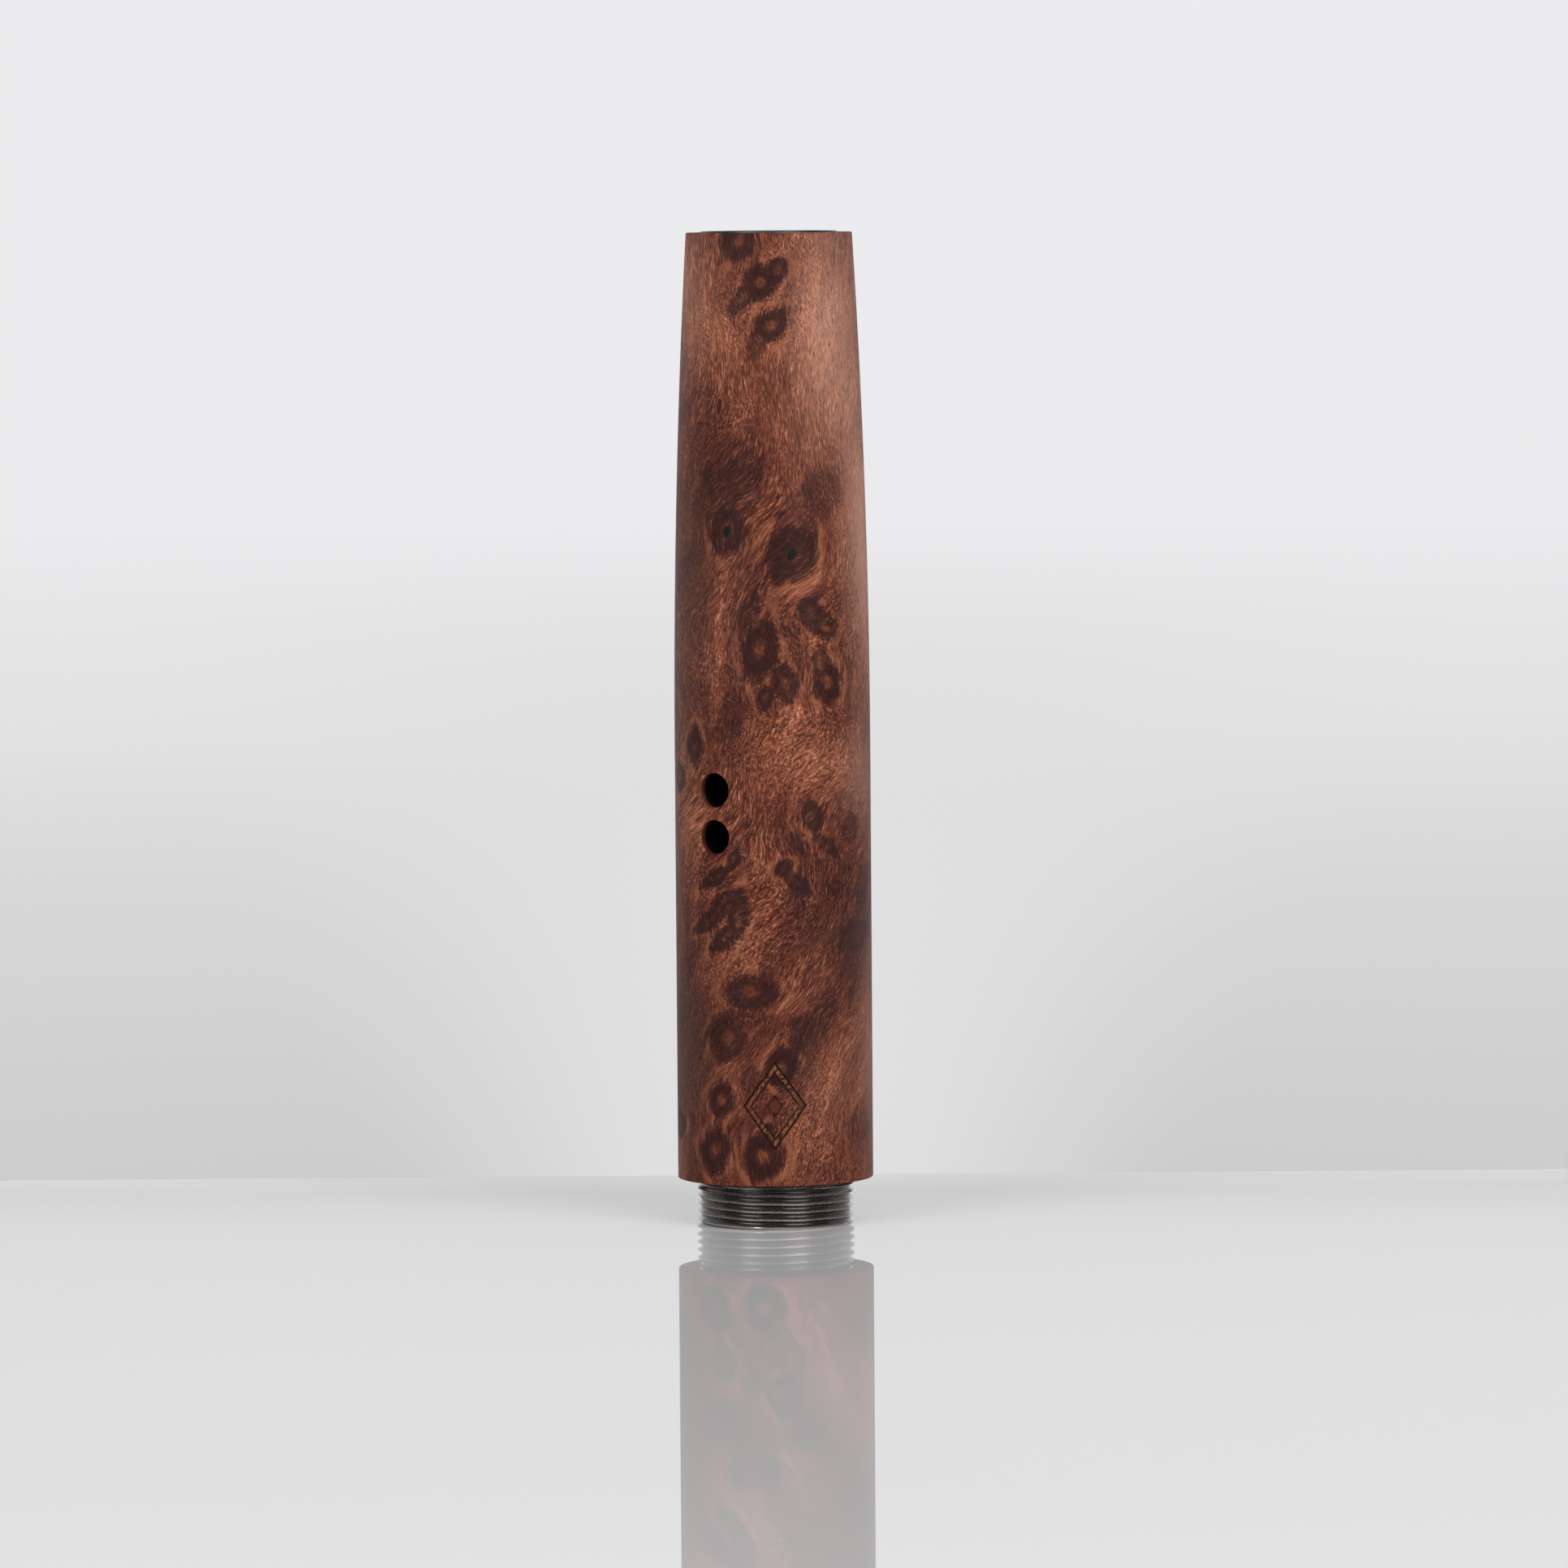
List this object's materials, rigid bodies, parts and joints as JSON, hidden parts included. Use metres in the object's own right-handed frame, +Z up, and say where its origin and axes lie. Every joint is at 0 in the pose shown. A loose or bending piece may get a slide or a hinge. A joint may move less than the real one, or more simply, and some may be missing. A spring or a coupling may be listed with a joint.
{
  "type": "dip pen holder",
  "caption": "Turned burl-wood dip pen holder with a long tapering barrel, two side vents and a threaded dark metal collar round its nib clutch.",
  "frame": {"origin": "centre of the threaded collar's bottom face, on the surface the holder stands on", "axes": "+Z up the holder's long axis, -Y towards the front, and the two vents face between -Y and -X"},
  "size_m": [0.0248, 0.0248, 0.1258],
  "materials": {
    "burl_wood": "satin oiled red-brown burl with dark eyes",
    "liner_steel": "dull dark grey tube",
    "gunmetal": "turned dark gunmetal, semi-bright",
    "bush_brass": "turned brass",
    "clutch_steel": "plain drawn steel",
    "spring_steel": "bright spring steel"
  },
  "bodies": {
    "root": {"barrel": "burl_wood", "liner_tube": "liner_steel", "threaded_collar": "gunmetal", "nib_bush": "bush_brass", "ferrule_ring": "clutch_steel", "nib_prongs": "spring_steel"}
  },
  "joints": []
}
